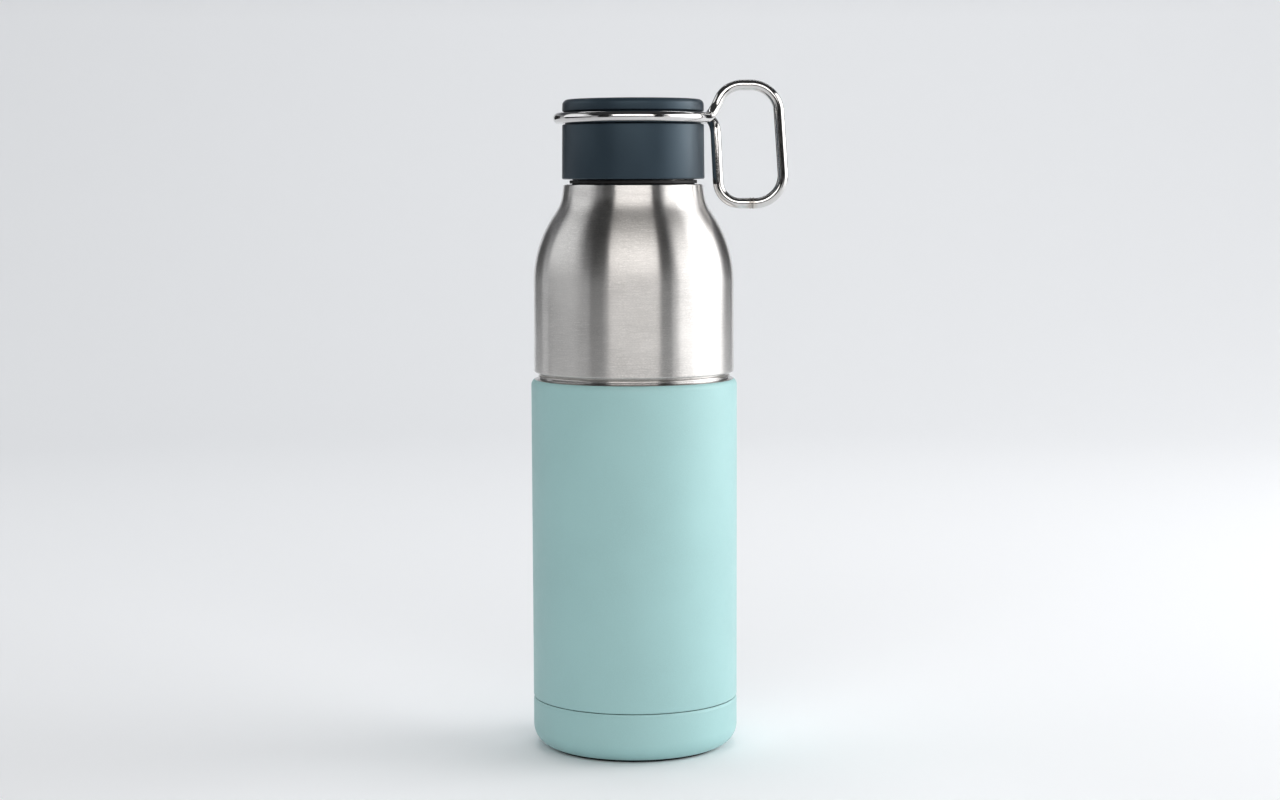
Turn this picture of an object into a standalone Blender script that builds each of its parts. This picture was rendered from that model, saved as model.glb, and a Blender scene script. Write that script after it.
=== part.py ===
"""Vacuum-insulated steel water bottle with a screw lid and a swivelling wire carrying ring.

Units are metres and +Z is up.  The origin is the middle of the underside of the foot pad,
the bottle's axis is Z, and the finger loop of the carrying ring points along +X.
Each sub-part is one object.  Outlines are lists of (radius, height, fillet) corners that
run down the outer side of a turned piece.
"""
import math

import bmesh
import bpy
from mathutils import Vector

# ---- resolution -----------------------------------------------------------------------------
SEGMENTS = 32               # faces round a turned piece
SMALL_SEGMENTS = 16         # faces round the bead and the pill
ARC_TOLERANCE = 0.00012     # how far a faceted arc may leave its true curve
MERGE = 0.000001            # points closer than this are one point
WIRE_BEVEL = 3              # roundness of the wire's section
RIDGE_BEVEL = 2             # roundness of a thread ridge's section
GAP = 0.0003                # gap between neighbouring pieces

# ---- outer shells ---------------------------------------------------------------------------
BARREL_TOP_R = 0.0370       # the widest place, made for a 74 mm bottle cage
BARREL_FOOT_R = 0.0369
BARREL_TOP_Z = 0.1339
BARREL_TOP_FILLET = 0.0025
SHELL_WALL = 0.0006
WAIST_R = 0.0344            # floor of the groove between shoulder and barrel
WAIST_JOINT_Z = 0.1346
SHOULDER_R = 0.03588
SHOULDER_FOOT_Z = 0.1359
SHOULDER_FOOT_FILLET = 0.0012
SHOULDER_BEND = (SHOULDER_R, 0.18134, 0.042)    # the wide curve of the shoulder
THROAT_BEND = (0.02581, 0.19627, 0.014)         # the hollow curve below the lid
LAND_R = 0.0250             # flat land under the lid
LAND_Z = 0.2031
LAND_FILLET = 0.0005
COLLAR_R = 0.0219           # plain collar at the root of the neck
COLLAR_TOP_Z = 0.2060
NECK_R = 0.0212
NECK_FOOT_Z = 0.2068
NECK_TOP_Z = 0.2172

# ---- base -----------------------------------------------------------------------------------
BASE_GROOVE_R = 0.0367
BASE_GROOVE_TOP_Z = 0.01895
BASE_GROOVE_FOOT_Z = 0.01785
BASE_GROOVE_SLOPE = 0.00015
BASE_JOINT_Z = 0.01855
BASE_CORNER_Z = 0.0023      # where the side and the rising underside would meet
BASE_FILLET = 0.008
BASE_RIM_Z = 0.0007
RECESS_R = 0.0306
RECESS_Z = 0.0030
PORT_DIMPLE_R = 0.0036
PORT_DIMPLE_TOP_R = 0.0028
PORT_DIMPLE_Z = 0.0046
PORT_HOLE_R = 0.0006
PAD_EDGE = 0.0003
BEAD_R = 0.0023
BEAD_EDGE = 0.0004

# ---- liner ----------------------------------------------------------------------------------
LINER_R = 0.0326
LINER_WALL = 0.0005
LINER_FOOT_Z = 0.0170
LINER_BEND = (LINER_R, 0.1800, 0.040)
LINER_NECK_R = 0.0202
LINER_THROAT = (LINER_NECK_R, 0.1985, 0.008)
LIP_R = 0.0213
LIP_UNDER_Z = 0.2175
LIP_TOP_Z = LIP_UNDER_Z + LINER_WALL
LINER_BOTTOM_Z = 0.0086
LINER_BOTTOM_FILLET = 0.008

# ---- getter ---------------------------------------------------------------------------------
GETTER_X = 0.0150
GETTER_R = 0.0040
GETTER_HEIGHT = 0.0020
CLIP_WIDTH = 0.0080
CLIP_HALF_CROWN = 0.0052
CLIP_HALF_SPAN = 0.0090
CLIP_WALL = 0.0004

# ---- screw thread ---------------------------------------------------------------------------
THREAD_PITCH = 0.0040
THREAD_RIDGE_R = 0.0008     # the ridge is a round bead, half sunk in its wall
NECK_RIDGE_R = 0.0215
NECK_RIDGE_START_Z = 0.2086
NECK_RIDGE_TURNS = 1.5
LID_RIDGE_R = 0.0225
LID_RIDGE_START_Z = 0.2080
LID_RIDGE_TURNS = 1.25
RIDGE_STEPS_PER_TURN = 28
RIDGE_RUN_OUT = 4           # points over which a ridge tapers at each end
RIDGE_TIP = 0.3             # thickness left at the tip of a run-out

# ---- lid ------------------------------------------------------------------------------------
LID_FOOT_R = 0.0255
LID_FOOT_Z = 0.2049
LID_FOOT_EDGE = 0.0006
LID_RIM_R = 0.0253          # outer radius on both sides of the wire groove
LID_TOP_R = 0.0252
LID_TOP_Z = 0.2332
LID_TOP_EDGE = 0.0020
WIRE_GROOVE_R = 0.0243
WIRE_GROOVE_FOOT_Z = 0.2243
WIRE_GROOVE_TOP_Z = 0.2289
GROOVE_EDGE = 0.0003
SKIRT_BORE_R = 0.0242
SKIRT_NECK_BORE_R = 0.0231
SKIRT_STEP_Z = 0.2219
INSERT_R = 0.0239
INSERT_FOOT_Z = 0.2065
INSERT_TOP_Z = 0.2216
INSERT_CEILING_Z = 0.2204
THREAD_ROOT_R = 0.0228
PLUG_R = 0.0190
PLUG_FOOT_Z = 0.2090
PLUG_EDGE = 0.0015
CUP_R = 0.0176
CUP_FLOOR_Z = 0.2105
SPIGOT_R = 0.0228
SPIGOT_BORE_R = 0.0214
SPIGOT_FOOT_Z = 0.2222
CAP_CEILING_Z = 0.2314
GASKET_R = 0.0224
GASKET_BORE_R = 0.0194
GASKET_EDGE = 0.0005
NECK_RING_R = 0.0228
NECK_RING_BORE_R = 0.0222
NECK_RING_HEIGHT = 0.0012

# ---- carrying ring --------------------------------------------------------------------------
WIRE_R = 0.0019
RING_R = 0.0267             # centre line of the wire where it goes round the lid
RING_Z = 0.2266
RING_STEP = math.radians(8.0)
BEND_STEP = math.radians(18.0)
FRONT_BEND = (Vector((0.0278, -0.0026, RING_Z)), 0.008)     # the ring's front end turns up here
BACK_BEND = (Vector((0.0293, 0.0022, RING_Z)), 0.006)       # the ring's back end turns down here
LOOP_BENDS = [                                              # corners of the finger loop
    (Vector((0.0307, 0.0, 0.1962)), 0.008),
    (Vector((0.0542, 0.0, 0.1962)), 0.010),
    (Vector((0.0514, 0.0, 0.2382)), 0.010),
    (Vector((0.0330, 0.0, 0.2382)), 0.009),
]


# ---- scene and materials --------------------------------------------------------------------
def clear_scene():
    """Remove every object that the file starts with."""
    for obj in list(bpy.data.objects):
        bpy.data.objects.remove(obj, do_unlink=True)


def new_collection(name):
    """Make a collection in the scene."""
    collection = bpy.data.collections.new(name)
    bpy.context.scene.collection.children.link(collection)
    return collection


def material(name, color, roughness, metallic=0.0):
    """Make a plain Principled material."""
    mat = bpy.data.materials.new(name)
    mat.use_nodes = True
    shader = mat.node_tree.nodes["Principled BSDF"]
    shader.inputs["Base Color"].default_value = (*color, 1.0)
    shader.inputs["Roughness"].default_value = roughness
    shader.inputs["Metallic"].default_value = metallic
    mat.diffuse_color = (*color, 1.0)
    return mat


# ---- outlines -------------------------------------------------------------------------------
def bend_points(before, corner, after, radius, max_step):
    """Points of the arc that rounds one corner of a route, for 2D or 3D vectors."""
    incoming = (corner - before).normalized()
    outgoing = (after - corner).normalized()
    turn = incoming.angle(outgoing)
    reach = radius * math.tan(turn / 2)
    inward = (outgoing - incoming).normalized()
    centre = corner + inward * (radius / math.cos(turn / 2))
    first = (corner - incoming * reach - centre).normalized()
    steps = max(2, math.ceil(turn / max_step))
    points = []
    for i in range(steps + 1):
        angle = turn * i / steps
        points.append(centre + (first * math.cos(angle) + incoming * math.sin(angle)) * radius)
    return points


def rounded(outline, closed=False):
    """Turn (radius, height[, fillet]) corners into points, with an arc at each fillet."""
    corners = [Vector(corner[:2]) for corner in outline]
    fillets = [corner[2] if len(corner) > 2 else 0.0 for corner in outline]
    points = []
    last = len(corners) - 1
    for i, corner in enumerate(corners):
        if fillets[i] == 0.0 or (not closed and i in (0, last)):
            points.append(corner)
            continue
        before = corners[i - 1]
        after = corners[(i + 1) % len(corners)]
        max_step = 2 * math.acos(1 - ARC_TOLERANCE / fillets[i])
        points.extend(bend_points(before, corner, after, fillets[i], max_step))
    return points


# ---- builders -------------------------------------------------------------------------------
def link(obj, collection, mat, parent):
    """Put a finished object in its collection, with its material and its parent."""
    obj.data.materials.append(mat)
    collection.objects.link(obj)
    if parent is not None:
        obj.parent = parent
        obj.location -= parent.location
    return obj


def turned(name, outline, mat, collection, parent=None, closed=False, wall=0.0, axis_x=0.0,
           segments=SEGMENTS):
    """Turn an outline round a vertical axis.  A wall makes an open outline a shell.

    The object's origin is on the axis, at the height of the outline's lowest point.
    """
    points = rounded(outline, closed)
    base_z = min(point.y for point in points)
    vertices = [(point.x, 0.0, point.y - base_z) for point in points]
    edges = [(i, i + 1) for i in range(len(points) - 1)]
    if closed:
        edges.append((len(points) - 1, 0))
    mesh = bpy.data.meshes.new(name)
    mesh.from_pydata(vertices, edges, [])
    obj = bpy.data.objects.new(name, mesh)
    obj.location = (axis_x, 0.0, base_z)
    screw = obj.modifiers.new("Turn", 'SCREW')
    screw.axis = 'Z'
    screw.steps = segments
    screw.render_steps = segments
    screw.use_merge_vertices = True
    screw.merge_threshold = MERGE
    if wall:
        solidify = obj.modifiers.new("Wall", 'SOLIDIFY')
        solidify.thickness = wall
        solidify.offset = -1.0
        solidify.use_even_offset = True
    return link(obj, collection, mat, parent)


def tube_curve(name, points, radius, bevel_resolution, cyclic=False, thickness=None):
    """A round bar along a row of points, as a curve object."""
    curve = bpy.data.curves.new(name, 'CURVE')
    curve.dimensions = '3D'
    curve.bevel_depth = radius
    curve.bevel_resolution = bevel_resolution
    curve.use_fill_caps = not cyclic
    spline = curve.splines.new('POLY')
    spline.points.add(len(points) - 1)
    for i, point in enumerate(points):
        spline.points[i].co = (*point, 1.0)
        if thickness is not None:
            spline.points[i].radius = thickness(i)
    spline.use_cyclic_u = cyclic
    return bpy.data.objects.new(name, curve)


def curve_to_mesh(curve_obj, name, collection):
    """Replace a curve object by a mesh object with welded caps."""
    bpy.context.scene.collection.objects.link(curve_obj)
    graph = bpy.context.evaluated_depsgraph_get()
    mesh = bpy.data.meshes.new_from_object(curve_obj.evaluated_get(graph))
    mesh.name = name
    editable = bmesh.new()
    editable.from_mesh(mesh)
    bmesh.ops.remove_doubles(editable, verts=editable.verts, dist=MERGE)
    editable.to_mesh(mesh)
    editable.free()
    obj = bpy.data.objects.new(name, mesh)
    obj.matrix_world = curve_obj.matrix_world
    bpy.data.objects.remove(curve_obj, do_unlink=True)
    collection.objects.link(obj)
    return obj


def thread_ridge(name, radius, start_z, turns, collection):
    """One ridge of the right-hand screw thread, as a hidden solid to be joined to a wall."""
    steps = round(turns * RIDGE_STEPS_PER_TURN)
    rise = THREAD_PITCH / RIDGE_STEPS_PER_TURN
    step_angle = 2 * math.pi / RIDGE_STEPS_PER_TURN
    start_angle = 2 * math.pi * (start_z - NECK_RIDGE_START_Z) / THREAD_PITCH
    points = []
    for i in range(steps + 1):
        angle = start_angle + step_angle * i
        points.append((radius * math.cos(angle), radius * math.sin(angle), start_z + rise * i))

    def thickness(i):
        from_end = min(i, steps - i)
        return RIDGE_TIP + (1 - RIDGE_TIP) * min(1.0, from_end / RIDGE_RUN_OUT)

    curve_obj = tube_curve(name, points, THREAD_RIDGE_R, RIDGE_BEVEL, thickness=thickness)
    ridge = curve_to_mesh(curve_obj, name, collection)
    ridge.hide_render = True
    ridge.display_type = 'WIRE'
    return ridge


def join_ridge(obj, ridge):
    """Add a ridge to a wall with a Boolean union."""
    boolean = obj.modifiers.new("Thread", 'BOOLEAN')
    boolean.operation = 'UNION'
    boolean.solver = 'EXACT'
    boolean.object = ridge


# ---- bottle ---------------------------------------------------------------------------------
def build_shells(parts, helpers):
    """The three welded pieces of the outer shell."""
    steel = material("brushed_steel", (0.62, 0.62, 0.62), 0.28, 1.0)
    coat = material("barrel_coat", (0.31, 0.53, 0.52), 0.55)
    base_coat = material("base_coat", (0.30, 0.52, 0.51), 0.55)
    shoulder = turned("shoulder_shell", [
        (NECK_R, NECK_TOP_Z),
        (NECK_R, NECK_FOOT_Z),
        (COLLAR_R, COLLAR_TOP_Z),
        (COLLAR_R, LAND_Z),
        (LAND_R, LAND_Z, LAND_FILLET),
        THROAT_BEND,
        SHOULDER_BEND,
        (SHOULDER_R, SHOULDER_FOOT_Z, SHOULDER_FOOT_FILLET),
        (WAIST_R, SHOULDER_FOOT_Z),
        (WAIST_R, WAIST_JOINT_Z),
    ], steel, parts, wall=SHELL_WALL)
    ridge = thread_ridge(
        "neck_thread_ridge", NECK_RIDGE_R, NECK_RIDGE_START_Z, NECK_RIDGE_TURNS, helpers)
    join_ridge(shoulder, ridge)
    turned("barrel_shell", [
        (WAIST_R, WAIST_JOINT_Z - GAP),
        (WAIST_R, BARREL_TOP_Z),
        (BARREL_TOP_R, BARREL_TOP_Z, BARREL_TOP_FILLET),
        (BARREL_FOOT_R, BASE_GROOVE_TOP_Z),
        (BASE_GROOVE_R, BASE_GROOVE_TOP_Z - BASE_GROOVE_SLOPE),
        (BASE_GROOVE_R, BASE_JOINT_Z),
    ], coat, parts, wall=SHELL_WALL)
    turned("base_cup", [
        (BASE_GROOVE_R, BASE_JOINT_Z - GAP),
        (BASE_GROOVE_R, BASE_GROOVE_FOOT_Z + BASE_GROOVE_SLOPE),
        (BARREL_FOOT_R, BASE_GROOVE_FOOT_Z),
        (BARREL_FOOT_R, BASE_CORNER_Z, BASE_FILLET),
        (RECESS_R, BASE_RIM_Z),
        (RECESS_R, RECESS_Z),
        (PORT_DIMPLE_R, RECESS_Z),
        (PORT_DIMPLE_TOP_R, PORT_DIMPLE_Z),
        (PORT_HOLE_R, PORT_DIMPLE_Z),
    ], base_coat, parts, wall=SHELL_WALL)


def build_base_fittings(parts):
    """The foot pad and the glass bead over the vacuum port."""
    pad_top = RECESS_Z - GAP
    turned("foot_pad", [
        (0.0, pad_top),
        (RECESS_R - GAP, pad_top),
        (RECESS_R - GAP, 0.0, PAD_EDGE),
        (0.0, 0.0),
    ], material("pad_silicone", (0.02, 0.02, 0.022), 0.7), parts)
    bead_top = PORT_DIMPLE_Z - GAP
    bead_foot = RECESS_Z + GAP
    turned("vacuum_seal", [
        (0.0, bead_top),
        (BEAD_R, bead_top, BEAD_EDGE),
        (BEAD_R, bead_foot, BEAD_EDGE),
        (0.0, bead_foot),
    ], material("seal_glass", (0.35, 0.45, 0.40), 0.1), parts, segments=SMALL_SEGMENTS)


def build_liner(parts):
    """The inner flask with its mouth, and its bottom cup."""
    turned("inner_flask", [
        (LIP_R, LIP_UNDER_Z),
        (LINER_NECK_R, LIP_UNDER_Z),
        LINER_THROAT,
        LINER_BEND,
        (LINER_R, LINER_FOOT_Z),
    ], material("liner_steel", (0.66, 0.66, 0.65), 0.22, 1.0), parts, wall=LINER_WALL)
    turned("liner_bottom", [
        (LINER_R, LINER_FOOT_Z - GAP),
        (LINER_R, LINER_BOTTOM_Z, LINER_BOTTOM_FILLET),
        (0.0, LINER_BOTTOM_Z),
    ], material("liner_bottom_steel", (0.64, 0.64, 0.63), 0.25, 1.0), parts, wall=LINER_WALL)


def build_getter(parts):
    """The getter pill and the bent strip over it, in the vacuum space above the base."""
    floor_z = RECESS_Z + SHELL_WALL + GAP
    turned("getter", [
        (0.0, floor_z + GETTER_HEIGHT),
        (GETTER_R, floor_z + GETTER_HEIGHT),
        (GETTER_R, floor_z),
        (0.0, floor_z),
    ], material("getter_metal", (0.20, 0.20, 0.21), 0.6, 1.0), parts,
        axis_x=GETTER_X, segments=SMALL_SEGMENTS)
    crown = GETTER_HEIGHT + GAP
    route = [
        (-CLIP_HALF_SPAN, 0.0),
        (-CLIP_HALF_CROWN, 0.0),
        (-CLIP_HALF_CROWN, crown),
        (CLIP_HALF_CROWN, crown),
        (CLIP_HALF_CROWN, 0.0),
        (CLIP_HALF_SPAN, 0.0),
    ]
    strip = bmesh.new()
    points = [strip.verts.new((x, -CLIP_WIDTH / 2, z)) for x, z in route]
    edges = [strip.edges.new((points[i], points[i + 1])) for i in range(len(points) - 1)]
    swept = bmesh.ops.extrude_edge_only(strip, edges=edges)
    moved = [item for item in swept["geom"] if isinstance(item, bmesh.types.BMVert)]
    bmesh.ops.translate(strip, verts=moved, vec=(0.0, CLIP_WIDTH, 0.0))
    bmesh.ops.recalc_face_normals(strip, faces=strip.faces)
    mesh = bpy.data.meshes.new("getter_clip")
    strip.to_mesh(mesh)
    strip.free()
    clip = bpy.data.objects.new("getter_clip", mesh)
    clip.location = (GETTER_X, 0.0, floor_z)
    solidify = clip.modifiers.new("Wall", 'SOLIDIFY')
    solidify.thickness = CLIP_WALL
    solidify.offset = 1.0 if mesh.polygons[0].normal.z > 0 else -1.0
    solidify.use_even_offset = True
    link(clip, parts, material("clip_steel", (0.55, 0.55, 0.55), 0.35, 1.0), None)


def build_neck_ring(parts):
    """The black ring that lies on the land round the root of the neck."""
    foot_z = LAND_Z + GAP
    top_z = foot_z + NECK_RING_HEIGHT
    turned("neck_ring", [
        (NECK_RING_R, top_z, GAP),
        (NECK_RING_R, foot_z),
        (NECK_RING_BORE_R, foot_z),
        (NECK_RING_BORE_R, top_z),
    ], material("ring_silicone", (0.015, 0.015, 0.016), 0.5), parts, closed=True)


# ---- lid ------------------------------------------------------------------------------------
def build_lid(parts, helpers):
    """The lid's plastic pieces, parented to an empty on the screw axis."""
    axis = bpy.data.objects.new("lid_axis", None)
    axis.location = (0.0, 0.0, LID_FOOT_Z)
    parts.objects.link(axis)
    turned("lid_skirt", [
        (WIRE_GROOVE_R, WIRE_GROOVE_TOP_Z - GAP),
        (WIRE_GROOVE_R, WIRE_GROOVE_FOOT_Z),
        (LID_RIM_R, WIRE_GROOVE_FOOT_Z, GROOVE_EDGE),
        (LID_FOOT_R, LID_FOOT_Z, LID_FOOT_EDGE),
        (SKIRT_BORE_R, LID_FOOT_Z),
        (SKIRT_BORE_R, SKIRT_STEP_Z),
        (SKIRT_NECK_BORE_R, SKIRT_STEP_Z),
        (SKIRT_NECK_BORE_R, WIRE_GROOVE_TOP_Z - GAP),
    ], material("lid_plastic", (0.055, 0.09, 0.12), 0.42), parts, axis, closed=True)
    turned("lid_top", [
        (0.0, LID_TOP_Z),
        (LID_TOP_R, LID_TOP_Z, LID_TOP_EDGE),
        (LID_RIM_R, WIRE_GROOVE_TOP_Z, GROOVE_EDGE),
        (SPIGOT_R, WIRE_GROOVE_TOP_Z),
        (SPIGOT_R, SPIGOT_FOOT_Z),
        (SPIGOT_BORE_R, SPIGOT_FOOT_Z),
        (SPIGOT_BORE_R, CAP_CEILING_Z),
        (0.0, CAP_CEILING_Z),
    ], material("lid_top_plastic", (0.06, 0.095, 0.125), 0.42), parts, axis)
    insert = turned("lid_insert", [
        (0.0, CUP_FLOOR_Z),
        (CUP_R, CUP_FLOOR_Z),
        (CUP_R, INSERT_TOP_Z),
        (INSERT_R, INSERT_TOP_Z),
        (INSERT_R, INSERT_FOOT_Z),
        (THREAD_ROOT_R, INSERT_FOOT_Z),
        (THREAD_ROOT_R, INSERT_CEILING_Z),
        (PLUG_R, INSERT_CEILING_Z),
        (PLUG_R, PLUG_FOOT_Z, PLUG_EDGE),
        (0.0, PLUG_FOOT_Z),
    ], material("insert_plastic", (0.05, 0.05, 0.055), 0.5), parts, axis)
    ridge = thread_ridge(
        "lid_thread_ridge", LID_RIDGE_R, LID_RIDGE_START_Z, LID_RIDGE_TURNS, helpers)
    ridge.rotation_euler.z = math.pi
    join_ridge(insert, ridge)
    turned("lid_foam", [
        (0.0, CAP_CEILING_Z - GAP),
        (SPIGOT_BORE_R - GAP, CAP_CEILING_Z - GAP),
        (SPIGOT_BORE_R - GAP, INSERT_TOP_Z + GAP),
        (CUP_R - GAP, INSERT_TOP_Z + GAP),
        (CUP_R - GAP, CUP_FLOOR_Z + GAP),
        (0.0, CUP_FLOOR_Z + GAP),
    ], material("foam", (0.85, 0.84, 0.80), 0.9), parts, axis)
    turned("lid_gasket", [
        (GASKET_R, INSERT_CEILING_Z - GAP, GASKET_EDGE),
        (GASKET_R, LIP_TOP_Z + GAP, GASKET_EDGE),
        (GASKET_BORE_R, LIP_TOP_Z + GAP, GASKET_EDGE),
        (GASKET_BORE_R, INSERT_CEILING_Z - GAP, GASKET_EDGE),
    ], material("gasket_silicone", (0.75, 0.77, 0.78), 0.45), parts, axis, closed=True)


# ---- carrying ring --------------------------------------------------------------------------
def tangent_angle(bend, side):
    """Angle round the lid at which a straight run to the bend leaves the ring."""
    distance = math.hypot(bend.x, bend.y)
    return math.atan2(bend.y, bend.x) + side * math.acos(RING_R / distance)


def ring_point(angle):
    """A point on the wire's centre line where it goes round the lid."""
    return Vector((RING_R * math.cos(angle), RING_R * math.sin(angle), RING_Z))


def wire_route():
    """Centre line of the closed wire: round the lid, down, along the finger loop and back."""
    front_bend, front_radius = FRONT_BEND
    back_bend, back_radius = BACK_BEND
    start = tangent_angle(front_bend, -1)
    sweep = 2 * math.pi - (tangent_angle(back_bend, 1) - start)
    steps = math.ceil(sweep / RING_STEP)
    route = [ring_point(start - sweep * i / steps) for i in range(steps + 1)]
    corners = [route[-1], back_bend, *[corner for corner, _ in LOOP_BENDS], front_bend, route[0]]
    radii = [back_radius, *[radius for _, radius in LOOP_BENDS], front_radius]
    for i, radius in enumerate(radii, start=1):
        route.extend(bend_points(corners[i - 1], corners[i], corners[i + 1], radius, BEND_STEP))
    return route


def build_carry_ring(parts):
    """The welded wire, parented to an empty on the swivel axis."""
    axis = bpy.data.objects.new("ring_axis", None)
    axis.location = (0.0, 0.0, RING_Z)
    parts.objects.link(axis)
    points = [point - axis.location for point in wire_route()]
    wire = tube_curve("carry_ring", points, WIRE_R, WIRE_BEVEL, cyclic=True)
    wire.location = axis.location
    link(wire, parts, material("polished_wire", (0.75, 0.75, 0.75), 0.12, 1.0), axis)


def main():
    """Build the whole bottle."""
    clear_scene()
    parts = new_collection("water_bottle")
    helpers = new_collection("water_bottle_helpers")
    build_shells(parts, helpers)
    build_base_fittings(parts)
    build_liner(parts)
    build_getter(parts)
    build_neck_ring(parts)
    build_lid(parts, helpers)
    build_carry_ring(parts)


main()
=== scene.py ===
"""Looks of the insulated water bottle: fine turned shells, the welded wire and every finish.

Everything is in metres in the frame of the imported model: +Z up, the bottle's axis on Z, the
finger loop towards +X.  Outlines run down the outer side of a turned piece.
"""
import math

import bmesh
import bpy
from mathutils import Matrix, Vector


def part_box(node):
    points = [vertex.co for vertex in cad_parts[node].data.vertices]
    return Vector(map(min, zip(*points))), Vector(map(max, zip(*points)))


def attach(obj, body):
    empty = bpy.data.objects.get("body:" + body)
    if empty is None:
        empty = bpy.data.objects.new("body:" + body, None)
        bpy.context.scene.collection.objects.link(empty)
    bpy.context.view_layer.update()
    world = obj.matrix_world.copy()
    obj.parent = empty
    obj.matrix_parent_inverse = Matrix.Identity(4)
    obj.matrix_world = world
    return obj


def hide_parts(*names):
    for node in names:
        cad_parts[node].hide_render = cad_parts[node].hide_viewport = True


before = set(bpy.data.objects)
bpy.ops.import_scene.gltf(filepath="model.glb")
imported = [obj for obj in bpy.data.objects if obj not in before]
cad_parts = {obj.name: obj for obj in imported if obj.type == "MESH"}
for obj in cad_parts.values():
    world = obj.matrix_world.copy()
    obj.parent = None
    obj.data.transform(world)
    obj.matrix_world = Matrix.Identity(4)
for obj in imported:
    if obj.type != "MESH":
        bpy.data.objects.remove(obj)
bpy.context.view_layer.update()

# ---- fineness -------------------------------------------------------------------------------
SEGMENTS = 192              # faces round a large turned piece
SMALL_SEGMENTS = 96         # faces round a piece that sits inside
ARC_TOLERANCE = 0.000004    # how far a drawn arc may leave its true curve
SHARP_ANGLE = math.radians(35)
EDGE = 0.00025              # softness of an ordinary moulded or rolled edge
GAP = 0.0003                # gap between neighbouring pieces
WELD_LINE = 0.00005         # hairline that is left at the weld between two shells
MITRE_LIMIT = 0.5           # keeps the inner side of a sheet from running away at a tight bend

# ---- sizes taken from the frame -------------------------------------------------------------
shoulder_low, shoulder_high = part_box("shoulder_shell")
barrel_low, barrel_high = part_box("barrel_shell")
base_low, base_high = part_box("base_cup")
pad_low, pad_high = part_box("foot_pad")
flask_low, flask_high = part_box("inner_flask")
bottom_low, bottom_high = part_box("liner_bottom")
band_low, band_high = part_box("neck_ring")
skirt_low, skirt_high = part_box("lid_skirt")
cap_low, cap_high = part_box("lid_top")
insert_low, insert_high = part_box("lid_insert")
gasket_low, gasket_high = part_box("lid_gasket")

# ---- outer shells ---------------------------------------------------------------------------
SHELL_WALL = 0.00045
WAIST_R = 0.0344            # floor of the groove between shoulder and barrel
WAIST_JOINT_Z = shoulder_low.z - WELD_LINE
WAIST_LEDGE_DROP = 0.0004
WAIST_LEDGE_Z = barrel_high.z - WAIST_LEDGE_DROP    # top of the barrel's edge in the groove
WAIST_LEDGE_FILLET = EDGE / 3
SHOULDER_FOOT_RISE = 0.0013
SHOULDER_FOOT_Z = shoulder_low.z + SHOULDER_FOOT_RISE
SHOULDER_FOOT_FILLET = 0.0008
UNDERCUT_DEPTH = 0.0008     # undercut of the groove, just below the shoulder's foot
UNDERCUT_HEIGHT = 0.0007
UNDERCUT_LIP_FILLET = 0.0005
UNDERCUT_R = WAIST_R - UNDERCUT_DEPTH
UNDERCUT_Z = SHOULDER_FOOT_Z - UNDERCUT_HEIGHT
SHOULDER_BEND = (shoulder_high.x, 0.18134, 0.042)   # a bend is radius, height, fillet
THROAT_BEND = (0.02581, 0.19627, 0.014)
LAND_R = 0.0250             # flat land under the lid
LAND_Z = band_low.z - GAP
LAND_FILLET = 0.0005
COLLAR_R = 0.0219           # plain collar at the root of the neck
COLLAR_HEIGHT = 0.0029
COLLAR_TOP_Z = LAND_Z + COLLAR_HEIGHT
NECK_R = 0.0212
NECK_TAPER = 0.0008         # height of the cone from the collar to the neck
NECK_FOOT_Z = COLLAR_TOP_Z + NECK_TAPER
BARREL_TOP_FILLET = 0.0025
COAT_EDGE_R = 0.0359        # the coat starts on the barrel's rounded top edge

# ---- base -----------------------------------------------------------------------------------
BASE_GROOVE_DEPTH = 0.0003
BASE_GROOVE_R = barrel_high.x - BASE_GROOVE_DEPTH
BASE_GROOVE_HALF = 0.0004   # from the joint to the upper side of the groove
BASE_GROOVE_SLOPE = 0.00015
BASE_LIP_DROP = 0.00055     # from the joint to the lip where the base slopes out of the groove
BASE_LIP_HEIGHT = 0.0004
BASE_LIP_TOP_Z = base_high.z - BASE_LIP_DROP
BASE_LIP_FOOT_Z = BASE_LIP_TOP_Z - BASE_LIP_HEIGHT
BASE_CORNER_Z = 0.0023      # where the side and the rising underside would meet
BASE_FILLET = 0.0074
BASE_RIM_INNER_FILLET = SHELL_WALL + GAP / 10
RECESS_R = pad_high.x + GAP
RECESS_Z = pad_high.z + GAP
PORT_DIMPLE_R = 0.0036
PORT_DIMPLE_TOP_R = 0.0028
PORT_DIMPLE_Z = 0.0046
PORT_HOLE_R = 0.0006
PAD_EDGE = 0.0003
PAD_GROOVE_DEPTH = 0.0004
PAD_GROOVE_HALF = 0.0005
PAD_GROOVE_EDGE = PAD_GROOVE_DEPTH / 4
PAD_GROOVES = (0.0060, 0.0115, 0.0170, 0.0225)

# ---- liner ----------------------------------------------------------------------------------
LINER_WALL = 0.00045
LINER_BEND = (flask_high.x, 0.1800, 0.040)
LINER_NECK_R = 0.0202
LINER_THROAT = (LINER_NECK_R, 0.1985, 0.008)
LIP_R = 0.0213              # rolled lip of the mouth
LIP_THICKNESS = 0.0005
LIP_UNDER_Z = flask_high.z - LIP_THICKNESS
LINER_BOTTOM_FILLET = 0.008
LINER_BEAD_R = 0.0180       # pressed ring in the liner's floor
LINER_BEAD_HEIGHT = 0.0008

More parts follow.
